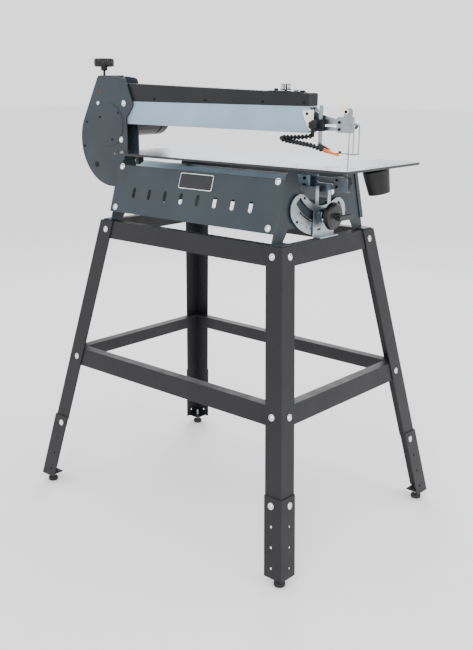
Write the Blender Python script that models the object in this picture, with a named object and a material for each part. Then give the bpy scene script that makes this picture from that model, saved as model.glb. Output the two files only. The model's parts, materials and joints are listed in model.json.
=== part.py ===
"""Scroll saw with a tilting head, a fixed table and a four-leg stand.

Metres, +Z up. +Y points to the rear tower, -Y to the operator, -X is the
operator's left. The origin is on the floor under the middle of the machine.
"""
import math

import bmesh
import bpy
from mathutils import Matrix, Vector

GAP = 0.0003            # clearance between neighbouring solids
SHEET = 0.003           # steel sheet of the stand and of the base brackets

# Stand: four angle-iron legs that spread downwards, two rings of rails
STAND_Y = -0.062
STAND_TOP = 0.827
TOP_HALF_X = 0.205
TOP_HALF_Y = 0.336
SPREAD_X = 0.189
SPREAD_Y = 0.176
LEG_FLANGE = 0.052
LEG_BOTTOM = 0.190
EXTENSION_FLANGE = 0.0555
EXTENSION_TOP = 0.224
EXTENSION_BOTTOM = 0.025
HOLE_PITCH = 0.051
HOLE_FROM_CORNER = 0.031
FOOT_INSET = 0.020
RAIL_HEIGHT = 0.050
RAIL_FLANGE = 0.025
SHELF_TOP = 0.442

# Base: end brackets, side covers, table
TABLE_TOP = 1.0175
TABLE_THICK = 0.006
TABLE_HALF_X = 0.170
TABLE_FRONT = -0.550
TABLE_REAR = 0.275
FRONT_BRACKET_Y = -0.362
REAR_BRACKET_Y = 0.232
BRACKET_ARCH = 0.105

# Tilt: the head turns about the Y axis at the table top
AXIS = Vector((0.0, 0.0, TABLE_TOP))
SECTOR_TEETH = 180      # teeth on a full circle of the sector
SECTOR_PITCH = 0.126
PINION_TEETH = 12
PINION_PITCH = SECTOR_PITCH * PINION_TEETH / SECTOR_TEETH
PINION_Z = TABLE_TOP - SECTOR_PITCH - PINION_PITCH
QUADRANT_Y = -0.3695

# Head: tower, arms and drive
PLATE_OUT = 0.026
PLATE_IN = 0.022
MOTOR = (0.424, 1.110)      # y, z of the motor axis
LEVER = (0.390, 1.0385)     # y, z of the rear rocking lever's pivot
THROW = 0.0018              # eccentric throw
ARM_HALF = 0.018
ARM_LOW = 1.089
ARM_HIGH = 1.155
LOWER_HALF = 0.0217
LOWER_LOW = 0.920
LOWER_HIGH = 0.980
SPEED_Y = -0.238
SWITCH_Y = -0.206
TENSION_Y = 0.472

# Nose linkages: two equal parallelograms carry the blade
PIVOT_Y = -0.324
ROCKER = 0.091
CRANK = 0.025
BAR_DROP = 0.017
UPPER_Z = 1.118
LOWER_Z = 0.959
BLADE_Y = -0.440
BLADE_LOW = 0.9750
BLADE_LENGTH = 0.127

PAINT_SLATE = ((0.075, 0.095, 0.115, 1), 0.42, 0.0)
PAINT_CHARCOAL = ((0.045, 0.045, 0.050, 1), 0.45, 0.0)
PAINT_SILVER = ((0.420, 0.520, 0.600, 1), 0.35, 0.6)
BLACK = ((0.020, 0.020, 0.022, 1), 0.40, 0.0)
STEEL = ((0.620, 0.620, 0.640, 1), 0.25, 1.0)
ZINC = ((0.700, 0.700, 0.700, 1), 0.30, 1.0)
RUBBER = ((0.015, 0.015, 0.015, 1), 0.80, 0.0)
POLISHED = ((0.600, 0.640, 0.680, 1), 0.12, 1.0)
ORANGE = ((0.900, 0.200, 0.010, 1), 0.40, 0.0)
CREAM = ((0.780, 0.730, 0.520, 1), 0.40, 0.0)


# ---------------------------------------------------------------- shapes
def clear_scene():
    for item in list(bpy.data.objects):
        bpy.data.objects.remove(item, do_unlink=True)


def along(axis, point, depth):
    """A 2-D drawing point at a depth along the axis it is drawn across."""
    first, second = point
    if axis == "X":
        return Vector((depth, first, second))
    if axis == "Y":
        return Vector((first, depth, second))
    return Vector((first, second, depth))


def arc(centre, radius, start, end, count):
    """Points on an arc, angles in degrees."""
    step = (end - start) / (count - 1)
    turns = [math.radians(start + step * i) for i in range(count)]
    return [(centre[0] + radius * math.cos(a), centre[1] + radius * math.sin(a)) for a in turns]


def circle(centre, radius, count=14):
    return arc(centre, radius, 0, 360 - 360 / count, count)


def loft(rings):
    """Closed solid through rings that have the same number of points."""
    bm = bmesh.new()
    loops = [[bm.verts.new(point) for point in ring] for ring in rings]
    for low, high in zip(loops, loops[1:]):
        for i in range(len(low)):
            j = (i + 1) % len(low)
            bm.faces.new((low[i], low[j], high[j], high[i]))
    bm.faces.new(loops[0])
    bm.faces.new(loops[-1])
    bmesh.ops.recalc_face_normals(bm, faces=bm.faces)
    return bm


def prism(outline, axis, low, high, holes=()):
    """A drawing, with its holes, extruded along an axis."""
    bm = bmesh.new()
    for loop in (outline, *holes):
        verts = [bm.verts.new(along(axis, point, low)) for point in loop]
        for a, b in zip(verts, verts[1:] + verts[:1]):
            bm.edges.new((a, b))
    bmesh.ops.triangle_fill(bm, use_beauty=True, edges=bm.edges[:])
    made = bmesh.ops.extrude_face_region(bm, geom=bm.faces[:])
    moved = [item for item in made["geom"] if isinstance(item, bmesh.types.BMVert)]
    bmesh.ops.translate(bm, verts=moved, vec=along(axis, (0, 0), high - low))
    bmesh.ops.recalc_face_normals(bm, faces=bm.faces)
    return bm


def box(low, high):
    corners = [(low[0], low[1]), (high[0], low[1]), (high[0], high[1]), (low[0], high[1])]
    return loft([[(x, y, z) for x, y in corners] for z in (low[2], high[2])])


def turned(profile, centre, axis="Z", steps=20, bored=False):
    """Turned solid; the profile is (radius, place along the axis) pairs."""
    drawn = {"X": (centre[1], centre[2]), "Y": (centre[0], centre[2]), "Z": (centre[0], centre[1])}[axis]
    start = centre["XYZ".index(axis)]
    rings = [[along(axis, p, start + place) for p in circle(drawn, radius, steps)]
             for radius, place in profile]
    if not bored:
        return loft(rings)
    bm = bmesh.new()
    loops = [[bm.verts.new(point) for point in ring] for ring in rings]
    for low, high in zip(loops, loops[1:] + loops[:1]):
        for i in range(steps):
            j = (i + 1) % steps
            bm.faces.new((low[i], low[j], high[j], high[i]))
    bmesh.ops.recalc_face_normals(bm, faces=bm.faces)
    return bm


def rod(axis, centre, radius, low, high, steps=14):
    """Plain round bar; the centre is in the plane across its axis."""
    rings = [[along(axis, p, depth) for p in circle(centre, radius, steps)] for depth in (low, high)]
    return loft(rings)


def tube(points, radii, sides=10):
    """Round bar along a path, with one radius for each of its points."""
    path = [Vector(point) for point in points]
    rings = []
    side = None
    for i, point in enumerate(path):
        ahead = path[min(i + 1, len(path) - 1)]
        behind = path[max(i - 1, 0)]
        heading = (ahead - behind).normalized()
        if side is None:
            side = heading.orthogonal()
        side = (side - heading * side.dot(heading)).normalized()
        other = heading.cross(side)
        rings.append([point + (side * u + other * v) * radii[i] for u, v in circle((0, 0), 1.0, sides)])
    return loft(rings)


def moved(bm, matrix):
    bmesh.ops.transform(bm, matrix=matrix, verts=bm.verts)
    return bm


def gathered(solids):
    """Several solids in one mesh, for use as a Boolean's operand."""
    total = bmesh.new()
    for bm in solids:
        mesh = bpy.data.meshes.new("lump")
        bm.to_mesh(mesh)
        bm.free()
        total.from_mesh(mesh)
        bpy.data.meshes.remove(mesh)
    return total


def mesh_object(name, bm, origin, parent):
    mesh = bpy.data.meshes.new(name)
    bmesh.ops.translate(bm, verts=bm.verts, vec=-Vector(origin))
    bm.to_mesh(mesh)
    bm.free()
    thing = bpy.data.objects.new(name, mesh)
    bpy.context.collection.objects.link(thing)
    thing.location = Vector(origin)
    if parent:
        thing.parent = parent
        thing.location = Vector(origin) - parent.location
    return thing


def combine(thing, solids, operation, origin, parent):
    helper = mesh_object(f"{thing.name}_{operation.lower()}", gathered(solids), origin, parent)
    helper.hide_render = True
    helper.display_type = "WIRE"
    modifier = thing.modifiers.new(operation.title(), "BOOLEAN")
    modifier.operation = operation
    modifier.solver = "EXACT"
    modifier.use_self = True
    modifier.object = helper


def node(name, bm, finish, joined=(), cuts=(), origin=(0, 0, 0), parent=None):
    """One piece of the machine, with its own material."""
    thing = mesh_object(name, bm, origin, parent)
    if joined:
        combine(thing, joined, "UNION", origin, parent)
    if cuts:
        combine(thing, cuts, "DIFFERENCE", origin, parent)
    thing.data.shade_smooth()
    thing.data.set_sharp_from_angle(angle=math.radians(35))
    colour, roughness, metallic = finish
    material = bpy.data.materials.new(name + "_finish")
    material.use_nodes = True
    shader = material.node_tree.nodes["Principled BSDF"]
    shader.inputs["Base Color"].default_value = colour
    shader.inputs["Roughness"].default_value = roughness
    shader.inputs["Metallic"].default_value = metallic
    thing.data.materials.append(material)
    return thing


# ---------------------------------------------------------------- stand
def half_sizes(z):
    """Half width and half length of the stand's outside at a height."""
    fall = STAND_TOP - z
    return TOP_HALF_X + SPREAD_X * fall, TOP_HALF_Y + SPREAD_Y * fall


def stand_corners():
    return [("front_left", -1, -1), ("front_right", 1, -1), ("rear_left", -1, 1), ("rear_right", 1, 1)]


def angle_ring(side_x, side_y, z, flange, outset):
    """Section of an angle iron whose corner is on the stand's outside edge."""
    half_x, half_y = half_sizes(z)
    section = [(0, 0), (flange, 0), (flange, SHEET), (SHEET, SHEET), (SHEET, flange), (0, flange)]
    return [(side_x * (half_x + outset - u), STAND_Y + side_y * (half_y + outset - v), z)
            for u, v in section]


def foot_place(side_x, side_y):
    half_x, half_y = half_sizes(EXTENSION_BOTTOM)
    return side_x * (half_x - FOOT_INSET), STAND_Y + side_y * (half_y - FOOT_INSET)


def square_holes(side_x, side_y):
    """Cutters for the three adjusting holes in both flanges of an extension."""
    half_hole = 0.0035
    reach = 0.012
    solids = []
    for i in range(3):
        z = 0.049 + HOLE_PITCH * i
        half_x, half_y = half_sizes(z)
        for along_x in (True, False):
            x = side_x * (half_x - (HOLE_FROM_CORNER if along_x else 0))
            y = STAND_Y + side_y * (half_y - (0 if along_x else HOLE_FROM_CORNER))
            size_x = half_hole if along_x else reach
            size_y = reach if along_x else half_hole
            solids.append(box((x - size_x, y - size_y, z - half_hole), (x + size_x, y + size_y, z + half_hole)))
    return solids


def make_leg(label, side_x, side_y):
    rings = [angle_ring(side_x, side_y, z, LEG_FLANGE, 0) for z in (LEG_BOTTOM, STAND_TOP)]
    node("leg_" + label, loft(rings), PAINT_CHARCOAL)


def make_extension(label, side_x, side_y):
    outset = SHEET + GAP
    rings = [angle_ring(side_x, side_y, z, EXTENSION_FLANGE, outset) for z in (EXTENSION_BOTTOM, EXTENSION_TOP)]
    foot_x, foot_y = foot_place(side_x, side_y)
    half_x, half_y = half_sizes(EXTENSION_BOTTOM)
    near = 0.042
    xs = sorted((side_x * (half_x + 0.001), side_x * (half_x - near)))
    ys = sorted((STAND_Y + side_y * (half_y + 0.001), STAND_Y + side_y * (half_y - near)))
    tab = box((xs[0], ys[0], 0.0262), (xs[1], ys[1], 0.0292))
    hole = rod("Z", (foot_x, foot_y), 0.0047, 0.015, 0.040, 16)
    node("leg_extension_" + label, loft(rings), PAINT_CHARCOAL, joined=[tab],
         cuts=[hole] + square_holes(side_x, side_y))


def make_levelling_foot(label, side_x, side_y):
    foot_x, foot_y = foot_place(side_x, side_y)
    profile = [(0.0140, 0.0), (0.0150, 0.0015), (0.0150, 0.0095), (0.0105, 0.0140), (0.0040, 0.0142),
               (0.0040, 0.0180), (0.0070, 0.0182), (0.0070, 0.0245), (0.0040, 0.0247), (0.0040, 0.0300),
               (0.0070, 0.0302), (0.0070, 0.0362), (0.0040, 0.0364), (0.0040, 0.0480)]
    origin = (foot_x, foot_y, 0.0)
    node("levelling_foot_" + label, turned(profile, origin, steps=14), RUBBER, origin=origin)


def make_rail(name, side, z_top, flange):
    """Angle rail inside the legs, mitred at both ends."""
    mitre = 0.0008
    profile = [(0, z_top - RAIL_HEIGHT), (0, z_top), (flange, z_top), (flange, z_top - SHEET),
               (SHEET, z_top - SHEET), (SHEET, z_top - RAIL_HEIGHT)]
    rings = []
    for end in (-1, 1):
        ring = []
        for inward, z in profile:
            half_x, half_y = half_sizes(z)
            across_x = half_x - SHEET - GAP - inward
            across_y = half_y - SHEET - GAP - inward
            if side in ("front", "rear"):
                facing = -1 if side == "front" else 1
                ring.append((end * (across_x - mitre), STAND_Y + facing * across_y, z))
            else:
                facing = -1 if side == "left" else 1
                ring.append((facing * across_x, STAND_Y + end * (across_y - mitre), z))
        rings.append(ring)
    node(name + "_" + side, loft(rings), PAINT_CHARCOAL)


def make_stand():
    for label, side_x, side_y in stand_corners():
        make_leg(label, side_x, side_y)
        make_extension(label, side_x, side_y)
        make_levelling_foot(label, side_x, side_y)
    for side in ("front", "rear", "left", "right"):
        make_rail("top_rail", side, STAND_TOP, RAIL_FLANGE)
        make_rail("shelf_rail", side, SHELF_TOP, RAIL_FLANGE + SHEET)


# ---------------------------------------------------------------- base
def bracket_outline():
    """End plate of the base: trapezoid with an arch for the lower arm."""
    top = 0.997
    foot = STAND_TOP + 0.0005
    drop = TABLE_TOP - top
    start = math.degrees(math.asin(drop / BRACKET_ARCH))
    arch = arc((0, TABLE_TOP), BRACKET_ARCH, 180 + start, 360 - start, 17)
    left = [(-0.158, foot), (-0.136, 0.860)]
    right = [(0.136, 0.860), (0.158, foot)]
    return ([(-0.201, foot), (-0.147, top)] + arch + [(0.147, top), (0.201, foot)]
            + right[::-1] + left[::-1])


def make_bracket(name, y_low, facing, holes=()):
    """Bracket plate with two foot tabs and two table tabs."""
    y_high = y_low + SHEET
    joined = []
    for side in (-1, 1):
        xs = sorted((side * 0.159, side * 0.199))
        ys = sorted((y_low + 0.001, y_low + 0.001 + facing * 0.034))
        joined.append(box((xs[0], ys[0], STAND_TOP + 0.0005), (xs[1], ys[1], STAND_TOP + 0.0035)))
        xs = sorted((side * 0.112, side * 0.142))
        under = TABLE_TOP - TABLE_THICK - GAP
        joined.append(box((xs[0], y_low + 0.0002, 0.990), (xs[1], y_high - 0.0002, under)))
        ys = sorted((y_low + 0.0015, y_low + 0.0015 - facing * 0.026))
        joined.append(box((xs[0] + 0.001, ys[0], under - 0.0025), (xs[1] - 0.001, ys[1], under - 0.0001)))
    node(name, prism(bracket_outline(), "Y", y_low, y_high, holes), PAINT_SLATE, joined=joined)


def obround(centre, width, height):
    """Upright slot with round ends."""
    rise = (height - width) / 2
    top = arc((centre[0], centre[1] + rise), width / 2, 0, 180, 7)
    bottom = arc((centre[0], centre[1] - rise), width / 2, 180, 360, 7)
    return top + bottom


def make_side_cover(name, side):
    """Folded sheet cover with a row of upright slots."""
    sheet = 0.0015
    hem = 0.0065
    top = (0.160, 0.985)
    foot = (0.200, 0.855)
    section = [top, foot, (foot[0] - hem, foot[1]), (foot[0] - hem, foot[1] + sheet),
               (foot[0] - sheet - 0.0004, foot[1] + sheet), (top[0] - sheet, top[1] - sheet),
               (top[0] - hem, top[1] - sheet), (top[0] - hem, top[1])]
    front = FRONT_BRACKET_Y - 0.003
    rear = REAR_BRACKET_Y + SHEET + 0.003
    ordered = [(side * x, z) for x, z in section]
    flange = [(side * (top[0] - 0.0002), top[1] - 0.0002), (side * (foot[0] - 0.0002), foot[1] + 0.0002),
              (side * (foot[0] - 0.014), foot[1] + 0.0002), (side * (top[0] - 0.014), top[1] - 0.0002)]
    joined = [prism(flange, "Y", front + 0.0001, front + sheet),
              prism(flange, "Y", rear - sheet, rear - 0.0001)]
    slot_count = 8
    slot_first = -0.276
    slot_pitch = 0.0613
    xs = sorted((side * 0.150, side * 0.215))
    cuts = [prism(obround((slot_first + slot_pitch * i, 0.912), 0.013, 0.030), "X", xs[0], xs[1])
            for i in range(slot_count)]
    node(name, prism(ordered, "Y", front, rear), PAINT_SLATE, joined=joined, cuts=cuts)


def rounded_rectangle(low, high, radius, count=6):
    corners = [((high[0] - radius, high[1] - radius), 0), ((low[0] + radius, high[1] - radius), 90),
               ((low[0] + radius, low[1] + radius), 180), ((high[0] - radius, low[1] + radius), 270)]
    points = []
    for centre, start in corners:
        points += arc(centre, radius, start, start + 90, count)
    return points


def make_table():
    rear_corner = 0.045
    front_corner = 0.012
    side = TABLE_HALF_X
    outline = arc((side - rear_corner, TABLE_REAR - rear_corner), rear_corner, 0, 90, 9)
    outline += arc((rear_corner - side, TABLE_REAR - rear_corner), rear_corner, 90, 180, 9)
    outline += arc((front_corner - side, TABLE_FRONT + front_corner), front_corner, 180, 270, 5)
    outline += arc((side - front_corner, TABLE_FRONT + front_corner), front_corner, 270, 360, 5)
    blade_hole = circle((0, BLADE_Y), 0.008, 20)
    node("table", prism(outline, "Z", TABLE_TOP - TABLE_THICK, TABLE_TOP, [blade_hole]), POLISHED)


def make_storage_cup():
    """Tapered cup that leans forward and hangs from a strap under the table."""
    wall = 0.0022
    top = (0.0340, 0.058)
    foot = (0.0275, 0.0)
    profile = [(foot[0], 0.0), top, (top[0] - wall, top[1]), (foot[0] - wall, wall * 1.5)]
    cup = loft([[along("Z", p, place) for p in circle((0, 0), radius, 28)] for radius, place in profile])
    place = Matrix.Translation((0.060, -0.499, 0.944))
    lean = place @ Matrix.Rotation(math.radians(-12), 4, Vector((0.7, 0.7, 0)))
    strap = box((0.086, -0.492, 0.958), (0.0885, -0.472, TABLE_TOP - TABLE_THICK - GAP))
    underside = TABLE_TOP - TABLE_THICK
    ear = box((0.066, -0.491, underside - 0.0028), (0.088, -0.473, underside - 0.0005))
    node("storage_cup", moved(cup, lean), BLACK, joined=[strap, ear])


def make_pinion_bracket():
    """Plate on the stand's front rail that carries the pinion shaft."""
    outline = rounded_rectangle((-0.046, STAND_TOP + 0.0005), (0.046, 0.901), 0.008, 4)
    shaft = circle((0, PINION_Z), 0.0056, 16)
    slot = [(-0.030 + u, 0.846 + v) for u, v in ((0, 0), (0.016, 0), (0.016, 0.005), (0, 0.005))]
    foot = box((-0.040, -0.393, STAND_TOP + 0.0005), (0.040, -0.3735, STAND_TOP + 0.0033))
    node("pinion_bracket", prism(outline, "Y", -0.3745, -0.3715, [shaft, slot]), ZINC, joined=[foot])


def make_base():
    shaft_hole = circle((0, PINION_Z), 0.0070, 16)
    make_bracket("base_bracket_front", FRONT_BRACKET_Y, -1, [shaft_hole])
    make_bracket("base_bracket_rear", REAR_BRACKET_Y, 1)
    make_side_cover("side_cover_left", -1)
    make_side_cover("side_cover_right", 1)
    make_table()
    make_storage_cup()
    make_pinion_bracket()


# ---------------------------------------------------------------- tilt
def polar(radius, degrees):
    """Point at an angle from straight down, positive to the right."""
    turn = math.radians(degrees)
    return radius * math.sin(turn), TABLE_TOP - radius * math.cos(turn)


def gear_edge(pitch, count, first, last, inner, outer):
    """Tooth outline of a sector, from one tooth number to another, in degrees and radii."""
    step = 360 / count
    points = []
    for i in range(first, last + 1):
        middle = i * step
        points += [(inner, middle - 0.36 * step), (outer, middle - 0.12 * step),
                   (outer, middle + 0.12 * step), (inner, middle + 0.36 * step)]
    return points


def make_quadrant(parent):
    """Toothed tilt sector on two spokes, with ears on the lower arm."""
    inner = 0.110
    outer = 0.187
    left = -42
    right = 26
    middle = (inner + outer) / 2
    cap = (outer - inner) / 2
    outline = [polar(outer, left + (right - left) * i / 20) for i in range(21)]
    end = polar(middle, right)
    outline += arc(end, cap, -90 + right, 90 + right, 9)[1:-1]
    spoke_in = 0.020
    spoke_out = 0.034
    spoke_top = 0.960
    edge_out = math.degrees(math.asin(spoke_out / inner))
    edge_in = math.degrees(math.asin(spoke_in / inner))
    outline += [polar(inner, right), polar(inner, edge_out), (spoke_out, spoke_top), (spoke_in, spoke_top)]
    outline += [polar(inner, edge_in), polar(inner, 0), polar(inner, -edge_in)]
    outline += [(-spoke_in, spoke_top), (-spoke_out, spoke_top), polar(inner, -edge_out)]
    outline += [polar(inner, -edge_out + (left + edge_out) * i / 5) for i in range(1, 6)]
    end = polar(middle, left)
    outline += arc(end, cap, 90 + left, 270 + left, 9)[1:-1]
    teeth = gear_edge(SECTOR_PITCH, SECTOR_TEETH, -25, 17, SECTOR_PITCH - 0.0012, SECTOR_PITCH + 0.0010)
    slot = [polar(radius, degrees) for radius, degrees in teeth]
    slot += [polar(0.150, 35 - 86 * i / 20) for i in range(21)]
    plate = prism(outline, "Y", QUADRANT_Y, QUADRANT_Y + SHEET, [slot])
    ears = [box((side * 0.028 - 0.0057, QUADRANT_Y + 0.001, 0.925), (side * 0.028 + 0.0057, -0.290, 0.958))
            for side in (-1, 1)]
    node("tilt_quadrant", plate, STEEL, joined=ears, origin=AXIS, parent=parent)


def make_tilt_controls():
    """Pinion shaft with its hub and knob, and the locking lever in front."""
    centre = (0, PINION_Z)
    step = 360 / PINION_TEETH
    outline = []
    for i in range(PINION_TEETH):
        middle = 90 + step * (i + 0.5)
        for radius, offset in ((PINION_PITCH - 0.0013, -0.34), (PINION_PITCH + 0.0009, -0.11),
                               (PINION_PITCH + 0.0009, 0.11), (PINION_PITCH - 0.0013, 0.34)):
            turn = math.radians(middle + offset * step)
            outline.append((centre[0] + radius * math.cos(turn), centre[1] + radius * math.sin(turn)))
    gear = prism(outline, "Y", QUADRANT_Y - 0.0008, QUADRANT_Y + SHEET + 0.0008)
    origin = (0, 0, PINION_Z)
    profile = [(0.0050, -0.350), (0.0050, -0.3755), (0.0190, -0.3760), (0.0200, -0.3770), (0.0200, -0.3800),
               (0.0125, -0.3805), (0.0125, -0.3930), (0.0340, -0.3960), (0.0362, -0.3990),
               (0.0345, -0.4080), (0.0280, -0.4130), (0.0080, -0.4140)]
    shaft = turned(profile, origin, "Y", 24)
    node("tilt_knob", shaft, BLACK, joined=[gear], origin=origin)
    profile = [(0.0075, -0.4146), (0.0090, -0.4155), (0.0090, -0.4270), (0.0065, -0.4280), (0.0065, -0.4350)]
    collar = turned(profile, origin, "Y", 18)
    bar = prism(rounded_rectangle((-0.032, PINION_Z - 0.006), (0.032, PINION_Z + 0.006), 0.0055, 4),
                "Y", -0.445, -0.433)
    node("tilt_lock_lever", bar, BLACK, joined=[collar], origin=origin)


# ---------------------------------------------------------------- head
def tower_outline():
    """Side view of the tower plates, as y and z."""
    chin = (0.422, 1.036)
    chin_radius = 0.140
    front = 0.349
    start = 360 - math.degrees(math.acos((front - chin[0]) / chin_radius))
    bottom = arc(chin, chin_radius, start, 384, 21)
    top_rear = arc((0.4655, 1.2165), 0.0135, 25, 90, 4)
    notch = [(0.413, 1.230), (0.407, 1.2235), (0.401, 1.2275)]
    top_front = arc((0.3615, 1.2095), 0.0140, 100, 170, 4)
    bulge = [(0.3195, 1.1500), (0.3200, 1.1430), (0.3380, 1.1190), (front, 1.1100)]
    return bottom + top_rear + notch + top_front + bulge


def make_tower(parent):
    outline = tower_outline()
    spacers = [rod("X", centre, 0.0050, -PLATE_IN - 0.002, PLATE_IN - GAP)
               for centre in ((0.465, 1.195), (0.528, 1.085), (0.495, 0.965))]
    pin = rod("X", LEVER, 0.0040, -PLATE_IN - 0.002, PLATE_IN - GAP, 16)
    profile = [(0.0640, 0.001), (0.0640, -0.0015), (0.0630, -0.0025)]
    cover = turned(profile, (-PLATE_OUT, 0.428, 1.084), "X", 40)
    node("tower_plate_left", prism(outline, "X", -PLATE_OUT, -PLATE_IN), PAINT_SLATE,
         joined=spacers + [pin, cover], origin=AXIS, parent=parent)
    shaft_hole = circle(MOTOR, 0.012, 20)
    node("tower_plate_right", prism(outline, "X", PLATE_IN, PLATE_OUT, [shaft_hole]), PAINT_SLATE,
         origin=AXIS, parent=parent)


def make_lower_arm(parent):
    """Hollow lower arm with fork cheeks for the linkage pivots."""
    wall = SHEET
    front = -0.318
    rear = 0.470
    beam = box((-LOWER_HALF, front, LOWER_LOW), (LOWER_HALF, rear, LOWER_HIGH))
    pins = [rod("X", (PIVOT_Y, z), 0.0030, -0.017, 0.017) for z in (LOWER_Z, LOWER_Z + BAR_DROP)]
    cheeks = [box((x, -0.337, 0.9235), (x + 0.0055, -0.285, 0.9835)) for x in (-0.0215, 0.0160)]
    inside = LOWER_HALF - wall
    hollow = box((-inside, -0.350, LOWER_LOW + wall), (inside, rear + 0.010, LOWER_HIGH - wall))
    mouth = box((-0.0150, -0.350, LOWER_LOW - 0.010), (0.0150, -0.290, LOWER_HIGH + 0.010))
    window = box((-0.007, 0.365, LOWER_HIGH - wall - 0.002), (0.007, 0.415, LOWER_HIGH + 0.010))
    hollow_shell(beam, [hollow, mouth, window], cheeks + pins, "lower_arm", PAINT_CHARCOAL, parent)


def hollow_shell(beam, cuts, joined, name, finish, parent):
    """Beam that is cut first, and then gets its cheeks and pins."""
    thing = node(name, beam, finish, cuts=cuts, origin=AXIS, parent=parent)
    combine(thing, joined, "UNION", AXIS, parent)


def make_upper_arm(parent):
    """Box-section arm, open at the front for the linkage and at the rear for the drive."""
    wall = SHEET
    front = -0.327
    rear = 0.450
    beam = box((-ARM_HALF, front, ARM_LOW), (ARM_HALF, rear, ARM_HIGH))
    inside = ARM_HALF - wall
    hollow = box((-inside, front - 0.01, ARM_LOW + wall), (inside, rear + 0.01, ARM_HIGH - wall))
    mouth = box((-0.0130, front - 0.01, ARM_LOW - 0.01), (0.0130, -0.290, ARM_HIGH - wall - 0.0005))
    open_rear = box((-0.0145, 0.335, ARM_LOW - 0.01), (0.0145, rear + 0.01, ARM_HIGH + 0.01))
    shaft_hole = rod("X", MOTOR, 0.009, 0.010, 0.030, 18)
    nose = [(-0.285, 1.0935), (-0.329, 1.0935), (-0.3365, 1.1010), (-0.3365, 1.1400), (-0.329, 1.1500)]
    nose.append((-0.285, 1.1500))
    cheeks = [prism(nose, "X", x, x + 0.0031) for x in (-0.0176, 0.0145)]
    pins = [rod("X", (PIVOT_Y, z), 0.0030, -0.0160, 0.0160) for z in (UPPER_Z, UPPER_Z - BAR_DROP)]
    hollow_shell(beam, [hollow, mouth, open_rear, shaft_hole], cheeks + pins, "upper_arm", PAINT_SILVER, parent)


def make_arm_cover(parent):
    """Black cover along the top of the upper arm, rising to the rear, with the control plate."""
    low = ARM_HIGH + GAP
    half = ARM_HALF + 0.001
    front = -0.3270
    rear = 0.4000
    outline = [(front, low), (front, 1.1840), (-0.3240, 1.1870), (0.3960, 1.2080), (rear, 1.2050), (rear, low)]
    cover = prism(outline, "X", -half, half)
    wall = 0.0022
    inner = [(front + wall, low - 0.01), (front + wall, 1.1848), (rear - wall, 1.2058), (rear - wall, low - 0.01)]
    hollow = prism(inner, "X", wall - half, half - wall)
    seat = [(-0.189, 1.1895), (-0.192, 1.1925), (-0.294, 1.1900), (-0.299, 1.1860), (-0.189, 1.1860)]
    plate = prism(seat, "X", -0.016, 0.016)
    holes = [rod("Z", (0, SPEED_Y), 0.0035, 1.178, 1.2), rod("Z", (0, SWITCH_Y), 0.0062, 1.182, 1.2, 16)]
    node("arm_top_cover", cover, BLACK, joined=[plate], cuts=[hollow] + holes, origin=AXIS, parent=parent)


def make_controls(parent):
    origin = (0, SPEED_Y, 1.1925)
    dial = turned([(0.0030, -0.0120), (0.0030, 0.0010), (0.0145, 0.0012), (0.0150, 0.0025), (0.0138, 0.0145),
                   (0.0120, 0.0165)], origin, "Z", 24)
    node("speed_dial", dial, ZINC, origin=origin, parent=parent)
    origin = (0, SWITCH_Y, 1.1925)
    button = turned([(0.0055, -0.0070), (0.0055, 0.0040), (0.0045, 0.0052)], origin, "Z", 18)
    node("power_button", button, BLACK, origin=origin, parent=parent)
    origin = (0, TENSION_Y, 1.2550)
    knob = turned([(0.0040, -0.0450), (0.0040, -0.0115), (0.0100, -0.0105), (0.0105, -0.0090), (0.0105, -0.0005),
                   (0.0270, 0.0000), (0.0310, 0.0030), (0.0310, 0.0220), (0.0280, 0.0250)], origin, "Z", 28)
    node("blade_tension_knob", knob, BLACK, origin=origin, parent=parent)


def make_motor(parent):
    centre = (0.0, *MOTOR)
    profile = [(0.0300, PLATE_OUT + GAP), (0.0300, 0.034), (0.0600, 0.0345), (0.0630, 0.0380), (0.0630, 0.1440),
               (0.0600, 0.1470), (0.0600, 0.1500), (0.0625, 0.1510), (0.0625, 0.1780), (0.0540, 0.1900)]
    node("motor_housing", turned(profile, centre, "X", 24), BLACK, origin=centre, parent=parent)
    shaft = rod("X", MOTOR, 0.0060, 0.0070, PLATE_OUT - GAP, 16)
    disc = rod("X", (MOTOR[0] + THROW, MOTOR[1]), 0.0100, 0.0045, 0.0105, 24)
    node("motor_eccentric", shaft, STEEL, joined=[disc], origin=centre, parent=parent)


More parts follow.
